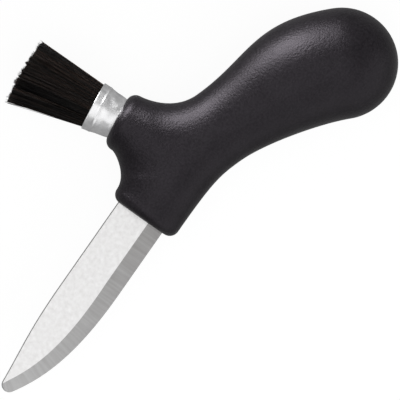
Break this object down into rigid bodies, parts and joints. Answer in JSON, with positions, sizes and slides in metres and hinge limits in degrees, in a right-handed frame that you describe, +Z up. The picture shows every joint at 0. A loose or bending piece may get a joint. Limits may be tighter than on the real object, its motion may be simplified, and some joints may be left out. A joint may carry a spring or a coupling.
{
  "type": "mushroom knife",
  "caption": "Fixed-blade mushroom knife with a forked, pear-shaped moulded handle that carries a curved blade on one nose and a round cleaning brush in a metal ferrule on the other.",
  "frame": {"origin": "under the middle of the knife's box, on the surface that it lies on", "axes": "+X along the blade from tip to handle, +Y towards the brush, +Z up through the thickness, square to the blade's flat"},
  "size_m": [0.1688, 0.1034, 0.0293],
  "materials": {
    "handle_plastic": "matte",
    "blade_steel": "satin",
    "ferrule_metal": "polished",
    "setting_resin": "gloss",
    "bristle_hair": "satin"
  },
  "bodies": {
    "root": {"handle": "handle_plastic", "blade": "blade_steel", "brush_ferrule": "ferrule_metal", "resin_setting": "setting_resin", "bristle_bundle_1": "bristle_hair", "bristle_bundle_2": "bristle_hair", "bristle_bundle_3": "bristle_hair", "bristle_bundle_4": "bristle_hair"}
  },
  "joints": []
}
